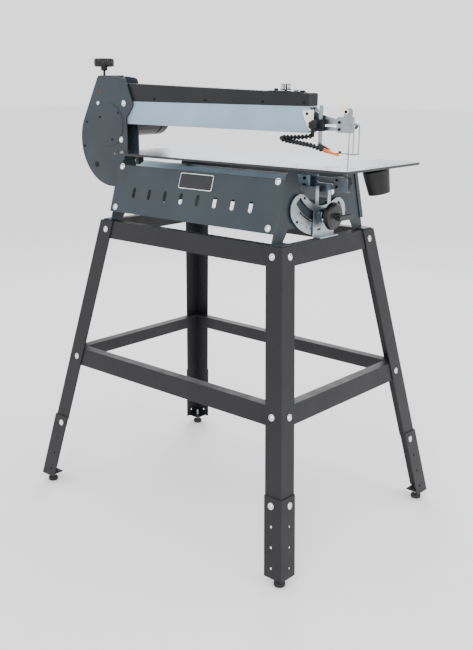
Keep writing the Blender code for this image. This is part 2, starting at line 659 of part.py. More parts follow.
def make_drive(parent):
    """Rocking lever, its connecting rod and the two push rods."""
    half = 0.0035
    high = (LEVER[0], UPPER_Z + CRANK)
    low = (LEVER[0], LOWER_Z - CRANK)
    level = (LEVER[0], MOTOR[1])
    side = [(LEVER[0] + 0.009, LEVER[1]), (LEVER[0] - 0.009, LEVER[1])]
    outline = arc(high, 0.0055, 0, 180, 8) + [side[1]] + arc(low, 0.0055, 180, 360, 8) + [side[0]]
    bore = circle(LEVER, 0.0045, 18)
    pins = [rod("X", high, 0.0024, -0.0085, 0.0085), rod("X", low, 0.0024, -0.0085, 0.0085),
            rod("X", level, 0.0024, 0.001, 0.0115)]
    origin = (0.0, *LEVER)
    plate = prism(outline, "X", -half, half, [bore])
    node("rocking_lever", plate, STEEL, joined=pins, origin=origin, parent=parent)

    ring = 0.0190
    bore = 0.0142
    neck = 0.0045
    reach = math.sqrt(ring ** 2 - neck ** 2)
    edge = math.degrees(math.asin(neck / ring))
    outline = arc(MOTOR, ring, -180 + edge, 180 - edge, 25)
    outline += [(MOTOR[0] - reach - 0.002, MOTOR[1] + neck)]
    outline += arc(level, 0.0058, 60, 300, 9)
    outline += [(MOTOR[0] - reach - 0.002, MOTOR[1] - neck)]
    holes = [circle(MOTOR, bore, 24), circle(level, 0.0030, 14)]
    plate = prism(outline, "X", 0.0045, 0.0105, holes)
    node("connecting_rod", plate, STEEL, origin=(0.0, *level), parent=parent)

    for name, z in (("push_rod_upper", high[1]), ("push_rod_lower", low[1])):
        ends = (PIVOT_Y, LEVER[0])
        bar = box((-0.0075, ends[0] - 0.007, z - 0.0065), (0.0075, ends[1] + 0.007, z + 0.0065))
        slots = [box((-0.0050, ends[0] - 0.012, z - 0.010), (0.0050, ends[0] + 0.014, z + 0.010)),
                 box((-0.0050, ends[1] - 0.014, z - 0.010), (0.0050, ends[1] + 0.012, z + 0.010))]
        bores = [rod("X", (y, z), 0.0034, -0.012, 0.012, 14) for y in ends]
        node(name, bar, STEEL, cuts=slots + bores, origin=(0, 0, z), parent=parent)


# ---------------------------------------------------------------- nose linkages
def make_linkage(label, z, up, parent):
    """Rocker, link bar and head block; up is +1 for the upper nose and -1 for the lower."""
    half = 0.0030
    tip_y = PIVOT_Y - ROCKER

    def at(y, rise):
        return y, z + up * rise

    def bend(centre, radius, start, end, count):
        return [(y, z + up * rise) for y, rise in arc(centre, radius, start, end, count)]

    outline = bend((PIVOT_Y, CRANK), 0.0055, -20, 150, 7)
    outline += [at(-0.351, 0.019)]
    outline += bend((tip_y, 0), 0.0050, 90, 270, 7)
    outline += bend((PIVOT_Y, 0), 0.0080, 265, 380, 7)
    holes = [circle((PIVOT_Y, z), 0.0034, 14), circle((tip_y, z), 0.0024, 12)]
    pin = rod("X", at(PIVOT_Y, CRANK), 0.0024, -0.0085, 0.0085)
    node(f"{label}_rocker", prism(outline, "X", -half, half, holes), STEEL, joined=[pin],
         origin=(0, PIVOT_Y, z), parent=parent)

    outline = arc(at(PIVOT_Y, -BAR_DROP), 0.0055, -90, 90, 7) + arc(at(tip_y, -BAR_DROP), 0.0045, 90, 270, 7)
    holes = [circle(at(PIVOT_Y, -BAR_DROP), 0.0034, 14), circle(at(tip_y, -BAR_DROP), 0.0024, 12)]
    node(f"{label}_link_bar", prism(outline, "X", -half, half, holes), STEEL,
         origin=(0, *at(PIVOT_Y, -BAR_DROP)), parent=parent)

    ends = sorted((z - up * 0.025, z + up * 0.013))
    block = box((-0.0085, -0.448, ends[0]), (0.0085, -0.407, ends[1]))
    slot = box((-0.0042, -0.4225, ends[0] - 0.01), (0.0042, -0.400, ends[1] + 0.01))
    blade_slot = box((-0.0008, -0.4430, ends[0] - 0.01), (0.0008, -0.4370, ends[1] - 0.006))
    if up < 0:
        blade_slot = box((-0.0008, -0.4430, ends[0] + 0.006), (0.0008, -0.4370, ends[1] + 0.01))
    pins = [rod("X", at(tip_y, rise), 0.0020, -0.0070, 0.0070, 12) for rise in (0, -BAR_DROP)]
    joined = pins
    if up > 0:
        seat = ends[1] - 0.003
        ear = [(-0.4440, seat), (-0.4250, seat)] + arc((-0.4350, 1.1440), 0.0090, 0, 180, 9)
        lobe = prism(ear, "X", -0.0060, 0.0060)
        joined = pins + [lobe]
    hollow_shell_at(block, [slot, blade_slot], joined, f"{label}_head_block", (0, tip_y, z), parent)

    screw_z = 1.108 if up > 0 else 0.966
    reach = 0.0300 if up > 0 else 0.0220
    radius = 0.0070 if up > 0 else 0.0050
    origin = (0.0, BLADE_Y, screw_z)
    screw = turned([(0.0025, 0.0089), (0.0025, 0.0120), (radius - 0.0008, 0.0125), (radius, 0.0135),
                    (radius, reach - 0.001), (radius - 0.001, reach)], origin, "X", 16)
    node(f"{label}_thumbscrew", screw, BLACK, origin=origin, parent=parent)


def hollow_shell_at(block, cuts, joined, name, origin, parent):
    thing = node(name, block, ZINC, cuts=cuts, origin=origin, parent=parent)
    combine(thing, joined, "UNION", origin, parent)


def make_blade(parent):
    blade = box((-0.0003, BLADE_Y - 0.0015, BLADE_LOW), (0.0003, BLADE_Y + 0.0015, BLADE_LOW + BLADE_LENGTH))
    node("blade", blade, STEEL, origin=(0, BLADE_Y, 1.040), parent=parent)


def make_tension_lever(parent):
    hub = (-0.4350, 1.1440)
    outline = arc(hub, 0.0065, 110, 350, 9) + arc((-0.4180, 1.1660), 0.0035, -40, 130, 6)
    node("blade_release_lever", prism(outline, "X", -0.0110, -0.0064), CREAM, origin=(0.0, *hub), parent=parent)


# ---------------------------------------------------------------- foot and blower
def make_drop_foot(parent):
    clamp = box((-0.0185, -0.3700, 1.0950), (-0.0050, -0.3372, 1.1240))
    guide = box((-0.0130, -0.3655, 1.090), (-0.0080, -0.3545, 1.130))
    node("foot_clamp", clamp, BLACK, cuts=[guide], origin=AXIS, parent=parent)
    origin = (-0.0185, -0.352, 1.110)
    knob = turned([(0.0030, -0.0004), (0.0030, -0.0080), (0.0110, -0.0085), (0.0130, -0.0100), (0.0130, -0.0190),
                   (0.0110, -0.0205)], origin, "X", 20)
    node("foot_lock_knob", knob, BLACK, origin=origin, parent=parent)
    hinge = (-0.3830, 1.0505)
    outline = [(-0.3550, 1.1580), (-0.3650, 1.1580), (-0.3650, 1.0635)]
    outline += arc(hinge, 0.0050, 120, 290, 8) + [(-0.3550, 1.0560)]
    bar = prism(outline, "X", -0.0125, -0.0085, [circle(hinge, 0.0024, 12)])
    node("drop_foot_bar", bar, STEEL, origin=(-0.0105, -0.360, 1.110), parent=parent)

    plate_low = 1.0410
    plate_high = 1.0440
    outline = [(-0.0078, -0.378), (-0.0078, -0.440), (-0.0138, -0.448), (-0.0138, -0.4640), (-0.0035, -0.4640),
               (-0.0035, -0.4320), (0.0035, -0.4320), (0.0035, -0.4640), (0.0138, -0.4640), (0.0138, -0.448),
               (0.0078, -0.440), (0.0078, -0.400), (-0.0040, -0.378)]
    lug = prism(arc(hinge, 0.0048, 0, 180, 8) + [(-0.3878, 1.0425), (-0.3782, 1.0425)], "X", -0.0077, -0.0042)
    pin = rod("X", hinge, 0.0020, -0.0140, -0.0060, 12)
    guard = [(-0.0120, -0.4615, 1.0425), (-0.0120, -0.4615, 1.1080), (-0.0100, -0.4615, 1.1120),
             (-0.0060, -0.4615, 1.1135), (0.0060, -0.4615, 1.1135), (0.0100, -0.4615, 1.1120),
             (0.0120, -0.4615, 1.1080), (0.0120, -0.4615, 1.0425)]
    wire = tube(guard, [0.0014] * len(guard), 8)
    node("drop_foot", prism(outline, "Z", plate_low, plate_high), STEEL, joined=[lug, pin, wire],
         origin=(0.0, *hinge), parent=parent)


def catmull(points, share):
    """Smooth path through the points, with some steps between each two."""
    path = [Vector(point) for point in points]
    padded = [path[0] * 2 - path[1]] + path + [path[-1] * 2 - path[-2]]
    smooth = []
    for a, b, c, d in zip(padded, padded[1:], padded[2:], padded[3:]):
        for i in range(share):
            t = i / share
            smooth.append(0.5 * ((2 * b) + (c - a) * t + (2 * a - 5 * b + 4 * c - d) * t ** 2
                                 + (3 * b - a - 3 * c + d) * t ** 3))
    smooth.append(path[-1])
    return smooth


def make_blower(parent):
    """Posable segmented air hose under the arm, with its nozzle."""
    route = [(-0.0240, -0.3430, 1.0830), (-0.0300, -0.3250, 1.0800), (-0.0360, -0.2980, 1.0780),
             (-0.0410, -0.2700, 1.0770), (-0.0390, -0.2560, 1.0750), (-0.0340, -0.2620, 1.0700),
             (-0.0310, -0.2900, 1.0665), (-0.0295, -0.3200, 1.0630), (-0.0280, -0.3480, 1.0590),
             (-0.0235, -0.3800, 1.0500)]
    path = catmull(route, 3)
    hose = tube(path, [0.0045] * len(path), 10)
    fitting = box((-0.0240, -0.3480, 1.0800), (-0.0190, -0.3390, 1.1000))
    node("air_hose", hose, BLACK, joined=[fitting], origin=AXIS, parent=parent)
    start = path[-1]
    heading = (Vector((-0.0120, -0.4250, 1.0365)) - start).normalized()
    points = [start + heading * step for step in (0.0012, 0.0060, 0.0120, 0.0300, 0.0440)]
    nozzle = tube(points, [0.0048, 0.0052, 0.0046, 0.0032, 0.0026], 12)
    node("air_nozzle", nozzle, ORANGE, origin=start, parent=parent)


def main():
    clear_scene()
    make_stand()
    make_base()
    make_tilt_controls()
    head = bpy.data.objects.new("head_tilt_axis", None)
    head.location = AXIS
    bpy.context.collection.objects.link(head)
    make_quadrant(head)
    make_tower(head)
    make_lower_arm(head)
    make_upper_arm(head)
    make_arm_cover(head)
    make_controls(head)
    make_motor(head)
    make_drive(head)
    make_linkage("upper", UPPER_Z, 1, head)
    make_linkage("lower", LOWER_Z, -1, head)
    make_blade(head)
    make_tension_lever(head)
    make_drop_foot(head)
    make_blower(head)


main()
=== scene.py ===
"""Looks of the tilting-head scroll saw: materials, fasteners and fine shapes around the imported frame."""
import json
import math

import bmesh
import bpy
from mathutils import Matrix, Vector


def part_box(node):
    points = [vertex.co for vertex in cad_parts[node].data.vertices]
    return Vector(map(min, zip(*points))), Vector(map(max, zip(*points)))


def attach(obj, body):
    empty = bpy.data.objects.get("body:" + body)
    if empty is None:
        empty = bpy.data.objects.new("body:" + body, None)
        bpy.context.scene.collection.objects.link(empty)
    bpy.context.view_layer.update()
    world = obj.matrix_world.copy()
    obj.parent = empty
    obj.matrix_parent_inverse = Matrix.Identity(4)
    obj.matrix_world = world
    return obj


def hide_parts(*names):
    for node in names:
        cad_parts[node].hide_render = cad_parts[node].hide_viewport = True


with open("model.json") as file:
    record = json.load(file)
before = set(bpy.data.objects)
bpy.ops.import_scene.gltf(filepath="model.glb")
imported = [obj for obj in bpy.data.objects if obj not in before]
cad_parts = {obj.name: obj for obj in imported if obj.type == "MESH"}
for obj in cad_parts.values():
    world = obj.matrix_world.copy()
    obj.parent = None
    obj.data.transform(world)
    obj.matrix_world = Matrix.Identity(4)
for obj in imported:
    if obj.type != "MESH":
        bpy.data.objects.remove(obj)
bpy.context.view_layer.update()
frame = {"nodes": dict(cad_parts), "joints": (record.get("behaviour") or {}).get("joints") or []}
NODES = frame["nodes"]
SIDES = (-1, 1)
CORNERS = [("front_left", -1, -1), ("front_right", 1, -1), ("rear_left", -1, 1), ("rear_right", 1, 1)]
UP = Vector((0, 0, 1))


def low(node):
    return Vector(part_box(node)[0])


def high(node):
    return Vector(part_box(node)[1])


def middle(node):
    return (low(node) + high(node)) / 2


# ------------------------------------------------------------ camera and light
def make_camera():
    """Three-quarter view from the operator's left, a little above the table."""
    place = Vector((-1.905, -1.710, 1.226))
    yaw, pitch, roll = math.radians(-47.41), math.radians(17.45), math.radians(0.05)
    back = Vector((math.sin(yaw) * math.cos(pitch), -math.cos(yaw) * math.cos(pitch), math.sin(pitch)))
    right = (-back).cross(UP).normalized()
    above = right.cross(-back)
    turned_right = right * math.cos(roll) + above * math.sin(roll)
    turned_above = above * math.cos(roll) - right * math.sin(roll)
    data = bpy.data.cameras.new("studio_camera")
    data.sensor_width = 36.0
    data.lens = 36.0 * 885.2 / 650
    data.shift_x = 30 / 650
    data.shift_y = 30 / 650
    camera = bpy.data.objects.new("studio_camera", data)
    bpy.context.scene.collection.objects.link(camera)
    axes = Matrix((turned_right, turned_above, back)).transposed().to_4x4()
    camera.matrix_world = Matrix.Translation(place) @ axes
    bpy.context.scene.camera = camera


def area_light(name, place, size, power):
    data = bpy.data.lights.new(name, "AREA")
    data.shape = "RECTANGLE"
    data.size, data.size_y = size
    data.energy = power
    light = bpy.data.objects.new(name, data)
    bpy.context.scene.collection.objects.link(light)
    light.location = place
    light.rotation_euler = (Vector(place) - Vector((0, 0, 0.8))).to_track_quat("Z", "Y").to_euler()


def make_studio():
    world = bpy.data.worlds.new("studio_world")
    bpy.context.scene.world = world
    world.use_nodes = True
    background = world.node_tree.nodes["Background"]
    background.inputs["Color"].default_value = (1.0, 1.0, 1.0, 1)
    background.inputs["Strength"].default_value = 1.7
    area_light("key_light", (-2.6, -1.6, 3.0), (1.6, 1.6), 60)
    area_light("rim_light", (2.4, 1.8, 2.6), (1.4, 2.0), 45)
    area_light("front_light", (0.6, -3.4, 1.6), (1.8, 1.2), 28)
    bpy.ops.mesh.primitive_plane_add(size=60, location=(0, 0, 0))
    floor = bpy.context.object
    floor.name = "studio_floor"
    coat = bpy.data.materials.new("studio_floor")
    coat.use_nodes = True
    shader = coat.node_tree.nodes["Principled BSDF"]
    shader.inputs["Base Color"].default_value = (0.93, 0.93, 0.93, 1)
    shader.inputs["Roughness"].default_value = 0.7
    floor.data.materials.append(coat)


# ------------------------------------------------------------ materials
class Recipe:
    """A node material under construction, in the object's own coordinates."""

    def __init__(self, name):
        self.material = bpy.data.materials.new(name)
        self.material.use_nodes = True
        self.tree = self.material.node_tree
        self.shader = self.tree.nodes["Principled BSDF"]
        self.place = self.add("ShaderNodeTexCoord").outputs["Object"]

    def add(self, kind, **settings):
        made = self.tree.nodes.new(kind)
        for key, value in settings.items():
            setattr(made, key, value)
        return made

    def link(self, source, target):
        self.tree.links.new(source, target)

    def set(self, **values):
        for key, value in values.items():
            self.shader.inputs[key.replace("_", " ")].default_value = value

    def stretched(self, scale):
        mapping = self.add("ShaderNodeMapping")
        mapping.inputs["Scale"].default_value = scale
        self.link(self.place, mapping.inputs["Vector"])
        return mapping.outputs["Vector"]

    def noise(self, scale, detail=3.0, stretch=None):
        made = self.add("ShaderNodeTexNoise")
        made.inputs["Scale"].default_value = scale
        made.inputs["Detail"].default_value = detail
        self.link(self.stretched(stretch) if stretch else self.place, made.inputs["Vector"])
        return made.outputs["Fac"]

    def cells(self, scale):
        made = self.add("ShaderNodeTexVoronoi")
        made.inputs["Scale"].default_value = scale
        self.link(self.place, made.inputs["Vector"])
        return made.outputs["Color"]

    def ramp(self, factor, stops):
        made = self.add("ShaderNodeValToRGB")
        elements = made.color_ramp.elements
        while len(elements) < len(stops):
            elements.new(0.5)
        for element, (position, colour) in zip(elements, stops):
            element.position = position
            element.color = colour if len(colour) == 4 else (*colour, 1)
        self.link(factor, made.inputs["Fac"])
        return made.outputs["Color"]

    def span(self, value, low_in, high_in, low_out, high_out):
        made = self.add("ShaderNodeMapRange")
        limits = {"From Min": low_in, "From Max": high_in, "To Min": low_out, "To Max": high_out}
        for key, number in limits.items():
            made.inputs[key].default_value = number
        self.link(value, made.inputs["Value"])
        return made.outputs["Result"]

    def mix(self, factor, first, second):
        made = self.add("ShaderNodeMix", data_type="RGBA")
        for index, value in ((0, factor), (6, first), (7, second)):
            self.feed(made.inputs[index], value)
        return made.outputs[2]

    def feed(self, socket, value):
        if isinstance(value, (int, float)):
            socket.default_value = value
        elif isinstance(value, tuple):
            socket.default_value = (*value, 1)
        else:
            self.link(value, socket)

    def edge_mask(self, radius):
        """1 along convex and concave edges, 0 on flats."""
        bevel = self.add("ShaderNodeBevel", samples=4)
        bevel.inputs["Radius"].default_value = radius
        surface = self.add("ShaderNodeNewGeometry").outputs["Normal"]
        dot = self.add("ShaderNodeVectorMath", operation="DOT_PRODUCT")
        self.link(bevel.outputs["Normal"], dot.inputs[0])
        self.link(surface, dot.inputs[1])
        return self.span(dot.outputs["Value"], 0.995, 0.90, 0.0, 1.0)

    def relief(self, height, strength, distance, soft=0.0007):
        """Bump over softly rounded edges."""
        bump = self.add("ShaderNodeBump")
        bump.inputs["Strength"].default_value = strength
        bump.inputs["Distance"].default_value = distance
        self.link(height, bump.inputs["Height"])
        bevel = self.add("ShaderNodeBevel", samples=4)
        bevel.inputs["Radius"].default_value = soft
        self.link(bevel.outputs["Normal"], bump.inputs["Normal"])
        self.link(bump.outputs["Normal"], self.shader.inputs["Normal"])


def scaled(colour, factor):
    return tuple(min(1.0, part * factor) for part in colour)


def powder_coat(name, colour, roughness=0.42, edge_wear_and_highlight=0.5):
    """Fine-textured baked paint with faint mottling and lighter edges, partly worn paint and partly a painted
    edge highlight.
    """
    r = Recipe(name)
    r.shader.inputs["Specular IOR Level"].default_value = 0.22
    mottle = r.ramp(r.noise(7.0, 4.0), [(0.30, scaled(colour, 0.86)), (0.72, scaled(colour, 1.14))])
    grain = r.noise(1500.0, 2.0)
    speck = r.mix(r.span(grain, 0.35, 0.75, 0.0, 0.16), mottle, scaled(colour, 1.9))
    # Painted edge highlight mixed with wear: edges are lightened in noise patches, partly paint wear and partly
    # painted highlight.
    edge = r.edge_mask(0.0011)
    patch = r.span(r.noise(60.0, 4.0), 0.42, 0.62, 0.0, edge_wear_and_highlight)
    worn_and_highlit_edges = r.add("ShaderNodeMath", operation="MULTIPLY")
    r.link(edge, worn_and_highlit_edges.inputs[0])
    r.link(patch, worn_and_highlit_edges.inputs[1])
    r.link(r.mix(worn_and_highlit_edges.outputs[0], speck, scaled(colour, 3.2)), r.shader.inputs["Base Color"])
    gloss = r.span(r.noise(22.0, 5.0), 0.3, 0.7, roughness - 0.05, roughness + 0.07)
    r.link(gloss, r.shader.inputs["Roughness"])
    r.relief(grain, 0.16, 0.00025)
    return r.material


def bare_steel(name, colour, roughness=0.25, stretch=(1, 1, 1), grain=900.0, spangle=0.0):
    """Zinc-plated or ground steel: directional grain, faint cloudy patches."""
    r = Recipe(name)
    r.set(Metallic=1.0)
    base = r.ramp(r.noise(28.0, 5.0), [(0.32, scaled(colour, 0.80)), (0.70, scaled(colour, 1.10))])
    if spangle:
        base = r.mix(spangle, base, r.mix(0.85, r.cells(170.0), colour))
    r.link(base, r.shader.inputs["Base Color"])
    scratch = r.noise(grain, 3.0, stretch)
    r.link(r.span(scratch, 0.3, 0.7, roughness - 0.06, roughness + 0.10), r.shader.inputs["Roughness"])
    r.relief(scratch, 0.10, 0.0002, 0.0005)
    return r.material


def moulded(name, colour, roughness=0.45, grain=1100.0):
    """Moulded plastic or rubber with a fine spark-eroded grain."""
    r = Recipe(name)
    r.shader.inputs["Specular IOR Level"].default_value = 0.30
    r.link(r.ramp(r.noise(40.0, 4.0), [(0.3, scaled(colour, 0.8)), (0.7, scaled(colour, 1.25))]),
           r.shader.inputs["Base Color"])
    fine = r.noise(grain, 2.0)
    r.link(r.span(fine, 0.3, 0.7, roughness - 0.06, roughness + 0.06), r.shader.inputs["Roughness"])
    r.relief(fine, 0.14, 0.0002)
    return r.material


def split_material(name, axis, level, below, above):
    """Two finishes on one piece, divided at a level: each is (colour, metallic, roughness)."""
    r = Recipe(name)
    parts = r.add("ShaderNodeSeparateXYZ")
    r.link(r.place, parts.inputs["Vector"])
    step = r.span(parts.outputs[axis], level - 0.00005, level + 0.00005, 0.0, 1.0)
    grain = r.noise(900.0, 3.0)
    shade = r.noise(45.0, 4.0)
    first = r.ramp(shade, [(0.3, scaled(below[0], 0.82)), (0.7, scaled(below[0], 1.15))])
    second = r.ramp(shade, [(0.3, scaled(above[0], 0.82)), (0.7, scaled(above[0], 1.15))])
    r.link(r.mix(step, first, second), r.shader.inputs["Base Color"])
    r.link(r.span(step, 0, 1, below[1], above[1]), r.shader.inputs["Metallic"])
    rough = r.add("ShaderNodeMath", operation="ADD")
    r.link(r.span(step, 0, 1, below[2] - 0.05, above[2] - 0.05), rough.inputs[0])
    r.link(r.span(grain, 0.3, 0.7, 0.0, 0.1), rough.inputs[1])
    r.link(rough.outputs[0], r.shader.inputs["Roughness"])
    r.relief(grain, 0.12, 0.0002)
    return r.material


def table_material(name):
    """Ground and polished top, dark coated rim and underside."""
    r = Recipe(name)
    normal = r.add("ShaderNodeSeparateXYZ")
    r.link(r.add("ShaderNodeTexCoord").outputs["Normal"], normal.inputs["Vector"])
    up = r.span(normal.outputs["Z"], 0.80, 0.95, 0.0, 1.0)
    cloud = r.ramp(r.noise(5.0, 4.0), [(0.3, (0.36, 0.40, 0.47)), (0.7, (0.46, 0.50, 0.57))])
    ground = r.noise(260.0, 4.0, (1.0, 0.02, 1.0))
    steel = r.mix(r.span(ground, 0.4, 0.7, 0.0, 0.25), cloud, (0.33, 0.36, 0.42))
    r.link(r.mix(up, (0.014, 0.014, 0.016), steel), r.shader.inputs["Base Color"])
    r.link(r.span(up, 0, 1, 0.1, 1.0), r.shader.inputs["Metallic"])
    rough = r.add("ShaderNodeMath", operation="ADD")
    r.link(r.span(up, 0, 1, 0.36, 0.13), rough.inputs[0])
    r.link(r.span(ground, 0.3, 0.7, 0.0, 0.09), rough.inputs[1])
    r.link(rough.outputs[0], r.shader.inputs["Roughness"])
    r.relief(ground, 0.05, 0.0001, 0.0006)
    return r.material


SLATE = (0.027, 0.036, 0.044)
CHARCOAL = (0.0135, 0.0133, 0.0155)
BLACK = (0.008, 0.008, 0.009)
ZINC = (0.30, 0.34, 0.38)

FINISH = {}


def make_materials():
    FINISH.update({
        "slate": powder_coat("slate_powder_coat", SLATE, 0.40),
        "charcoal": powder_coat("charcoal_powder_coat", CHARCOAL, 0.44),
        "arm_black": powder_coat("arm_cover_paint", (0.0125, 0.0130, 0.0150), 0.46),
        "silver_blue": powder_coat("arm_silver_paint", (0.26, 0.37, 0.46), 0.36, 0.2),
        "zinc": bare_steel("zinc_plate", ZINC, 0.28, spangle=0.25),
        "bright": bare_steel("bright_fastener", (0.80, 0.80, 0.82), 0.20),
        "cast": bare_steel("cast_silver", (0.40, 0.45, 0.49), 0.34, grain=500.0),
        "tempered": bare_steel("tempered_steel", (0.42, 0.42, 0.45), 0.30, (1, 1, 0.05)),
        "plastic": moulded("black_moulding", BLACK, 0.40),
        "gloss_black": moulded("black_gloss_moulding", (0.006, 0.006, 0.007), 0.26),
        "socket_black": bare_steel("black_oxide_screw", (0.025, 0.025, 0.028), 0.38),
        "rubber": moulded("black_rubber", (0.010, 0.010, 0.010), 0.72, 600.0),
        "motor": powder_coat("motor_paint", (0.010, 0.010, 0.011), 0.38),
        "cream": moulded("cream_plate", (0.78, 0.70, 0.62), 0.40),
        "pale_yellow": moulded("pale_yellow_moulding", (0.88, 0.82, 0.50), 0.36),
        "orange": moulded("orange_moulding", (0.95, 0.14, 0.003), 0.33),
        "rust": moulded("amber_label", (0.085, 0.030, 0.014), 0.55),
        "plate_face": powder_coat("name_plate_face", (0.020, 0.021, 0.024), 0.33, 0.1),
        "plate_rim": moulded("name_plate_rim", (0.80, 0.80, 0.80), 0.35),
        "red": moulded("red_marker", (0.45, 0.02, 0.02), 0.40),
        "ink": moulded("scale_ink", (0.02, 0.02, 0.02), 0.50),
        "table": table_material("polished_table"),
    })
    rubber = ((0.010, 0.010, 0.010), 0.0, 0.72)
    zinc = (ZINC, 1.0, 0.26)
    black = (BLACK, 0.0, 0.36)
    FINISH["foot"] = split_material("rubber_foot_on_stud", "Z", 0.0141, rubber, zinc)
    FINISH["tilt_knob"] = split_material("knob_on_shaft", "Y", -0.3808, black, zinc)
    FINISH["lock_lever"] = split_material("lever_with_collar", "Y", -0.4260, black, zinc)


CAD_FINISH = {
    "slate": ["base_bracket_front", "base_bracket_rear", "side_cover_left", "side_cover_right",
              "tower_plate_left", "tower_plate_right"],
    "charcoal": ["leg_", "top_rail_", "shelf_rail_"],
    "zinc": ["upper_rocker", "upper_link_bar", "upper_head_block", "lower_rocker", "lower_link_bar",
             "drop_foot_bar", "lower_head_block", "drop_foot", "rocking_lever", "connecting_rod",
             "push_rod_upper", "push_rod_lower", "motor_eccentric"],
    "cast": ["tilt_quadrant", "pinion_bracket"],
    "silver_blue": ["upper_arm", "lower_arm"],
    "arm_black": ["arm_top_cover", "foot_clamp"],
    "plastic": ["storage_cup", "power_button"],
    "motor": ["motor_housing"],
    "tempered": ["blade"],
    "pale_yellow": ["blade_release_lever"],
    "table": ["table"],
    "foot": ["levelling_foot_"],
    "tilt_knob": ["tilt_knob"],
    "lock_lever": ["tilt_lock_lever"],
}


def dress_nodes():
    for finish, names in CAD_FINISH.items():
        for name, thing in NODES.items():
            if any(name == wanted or (wanted.endswith("_") and name.startswith(wanted)) for wanted in names):
                thing.data.materials.clear()
                thing.data.materials.append(FINISH[finish])


# ------------------------------------------------------------ mesh helpers
def frame_at(place, heading):
    """Matrix whose +Z is the heading, at a place."""
    turn = Vector(heading).normalized().to_track_quat("Z", "Y").to_matrix().to_4x4()
    return Matrix.Translation(Vector(place)) @ turn


def reach(kind, angle, radius):
    """Radius of a section at an angle: round, hexagonal, fluted or lobed."""
    if kind == "hex":
        sixth = math.radians(60)
        return radius * math.cos(sixth / 2) / math.cos((angle % sixth) - sixth / 2)
    if kind == "flutes":
        return radius * (1 - 0.075 * (0.5 + 0.5 * math.cos(16 * angle)) ** 2)
    if kind == "knurl":
        return radius * (1 - 0.05 * (0.5 + 0.5 * math.cos(28 * angle)))
    if kind == "lobes":
        return radius * (1 - 0.16 * (0.5 + 0.5 * math.cos(6 * angle)) ** 2)
    return radius


def turned(bm, profile, matrix, steps=24):
    """Closed turned shape; the profile is (radius, height) or (radius, height, kind) from end to end."""
    rings = []
    for entry in profile:
        radius, height = entry[:2]
        kind = entry[2] if len(entry) > 2 else "round"
        if radius == 0:
            rings.append([bm.verts.new(matrix @ Vector((0, 0, height)))])
            continue
        ring = []
        for i in range(steps):
            angle = math.tau * i / steps
            r = reach(kind, angle, radius)
            ring.append(bm.verts.new(matrix @ Vector((r * math.cos(angle), r * math.sin(angle), height))))
        rings.append(ring)
    for a, b in zip(rings, rings[1:]):
        for i in range(steps):
            j = (i + 1) % steps
            if len(a) == 1:
                bm.faces.new((a[0], b[i], b[j]))
            elif len(b) == 1:
                bm.faces.new((a[i], a[j], b[0]))
            else:
                bm.faces.new((a[i], a[j], b[j], b[i]))
    for end in (rings[0], rings[-1]):
        if len(end) > 1:
            bm.faces.new(end)


def slab(bm, outline, matrix, thickness):
    """Flat plate from an outline in the matrix's XY plane, rising along its Z."""
    bottom = [bm.verts.new(matrix @ Vector((x, y, 0))) for x, y in outline]
    top = [bm.verts.new(matrix @ Vector((x, y, thickness))) for x, y in outline]
    bm.faces.new(bottom)
    bm.faces.new(top)
    for i in range(len(outline)):
        j = (i + 1) % len(outline)
        bm.faces.new((bottom[i], bottom[j], top[j], top[i]))


def rounded(width, height, radius, count=6):
    points = []
    for cx, cy, start in ((1, 1, 0), (-1, 1, 90), (-1, -1, 180), (1, -1, 270)):
        for i in range(count):
            angle = math.radians(start + 90 * i / (count - 1))
            points.append((cx * (width / 2 - radius) + radius * math.cos(angle),
                           cy * (height / 2 - radius) + radius * math.sin(angle)))
    return points


def piece(name, bm, finish, body, stands_for=(), bevel=0.0, smooth=40):
    """Finishes a mesh as a piece of the machine that rides on a body."""
    bmesh.ops.recalc_face_normals(bm, faces=bm.faces)
    mesh = bpy.data.meshes.new(name)
    bm.to_mesh(mesh)
    bm.free()
    thing = bpy.data.objects.new(name, mesh)
    bpy.context.scene.collection.objects.link(thing)
    mesh.shade_smooth()
    mesh.set_sharp_from_angle(angle=math.radians(smooth))
    mesh.materials.append(FINISH[finish])
    if bevel:
        modifier = thing.modifiers.new("edge_rounding", "BEVEL")
        modifier.width = bevel
        modifier.segments = 2
        modifier.limit_method = "ANGLE"
        modifier.angle_limit = math.radians(40)
        modifier.harden_normals = True
    if stands_for:
        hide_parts(*stands_for)
    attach(thing, body)
    return thing


def button_bolt(bm, place, heading, radius=0.008, washer=True):
    """Domed socket-head bolt, with a washer under it."""
    m = frame_at(place, heading)
    base = 0.0
    if washer:
        turned(bm, [(radius * 1.35, 0), (radius * 1.35, 0.0010), (radius * 0.9, 0.00105), (0, 0.00105)], m, 24)
        base = 0.0011
    rise = radius * 0.55
    dome = [(radius * math.cos(a), base + rise * math.sin(a)) for a in (0, 0.35, 0.7, 1.0)]
    socket = radius * 0.42
    dome += [(socket * 1.05, base + rise * 0.97), (socket, base + rise * 0.93, "hex")]
    dome += [(socket, base + rise * 0.35, "hex"), (0, base + rise * 0.30)]
    turned(bm, dome, m, 24)


def socket_screw(bm, place, heading, radius=0.004, rise=0.0035):
    """Small cylinder-head socket screw."""
    m = frame_at(place, heading)
    turned(bm, [(radius, 0), (radius, rise * 0.85), (radius * 0.9, rise), (radius * 0.55, rise),
                (radius * 0.5, rise * 0.98, "hex"), (radius * 0.5, rise * 0.4, "hex"), (0, rise * 0.35)], m, 18)


